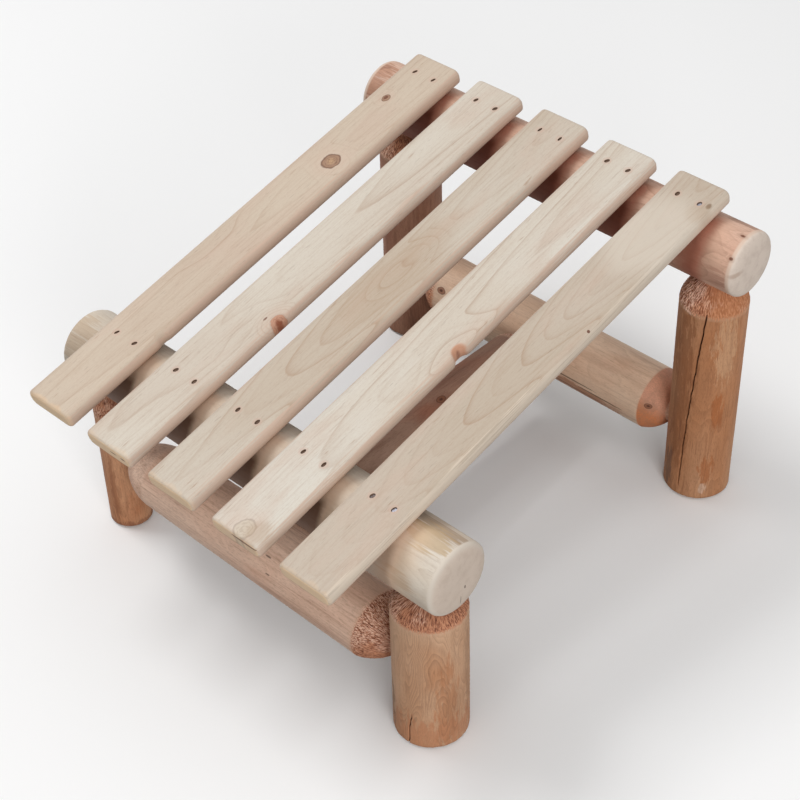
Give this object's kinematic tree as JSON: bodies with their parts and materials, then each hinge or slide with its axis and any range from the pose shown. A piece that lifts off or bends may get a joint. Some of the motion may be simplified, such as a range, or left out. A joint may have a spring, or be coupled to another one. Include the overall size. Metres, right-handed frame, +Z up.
{
  "type": "log ottoman",
  "caption": "Rustic log ottoman with a sloping top of flat slats nailed to round log rails, on peeled log legs joined by log stretchers.",
  "frame": {"origin": "on the floor, under the middle of the ottoman's plan", "axes": "+X along the rails to the right, +Y from the low front to the high back, +Z up"},
  "size_m": [0.524, 0.5978, 0.3748],
  "materials": {
    "slat_wood": "bare sanded softwood",
    "log_wood": "bare peeled log",
    "nail_steel": "dull galvanised"
  },
  "bodies": {
    "root": {"slat_1": "slat_wood", "slat_2": "slat_wood", "slat_3": "slat_wood", "slat_4": "slat_wood", "slat_5": "slat_wood", "front_rail": "log_wood", "back_rail": "log_wood", "leg_front_left": "log_wood", "leg_front_right": "log_wood", "leg_back_left": "log_wood", "leg_back_right": "log_wood", "front_stretcher": "log_wood", "back_stretcher": "log_wood", "centre_stretcher": "log_wood", "slat_1_nails": "nail_steel", "slat_2_nails": "nail_steel", "slat_3_nails": "nail_steel", "slat_4_nails": "nail_steel", "slat_5_nails": "nail_steel", "rail_lock_nails": "nail_steel", "leg_lock_nails": "nail_steel", "centre_lock_nails": "nail_steel"}
  },
  "joints": []
}
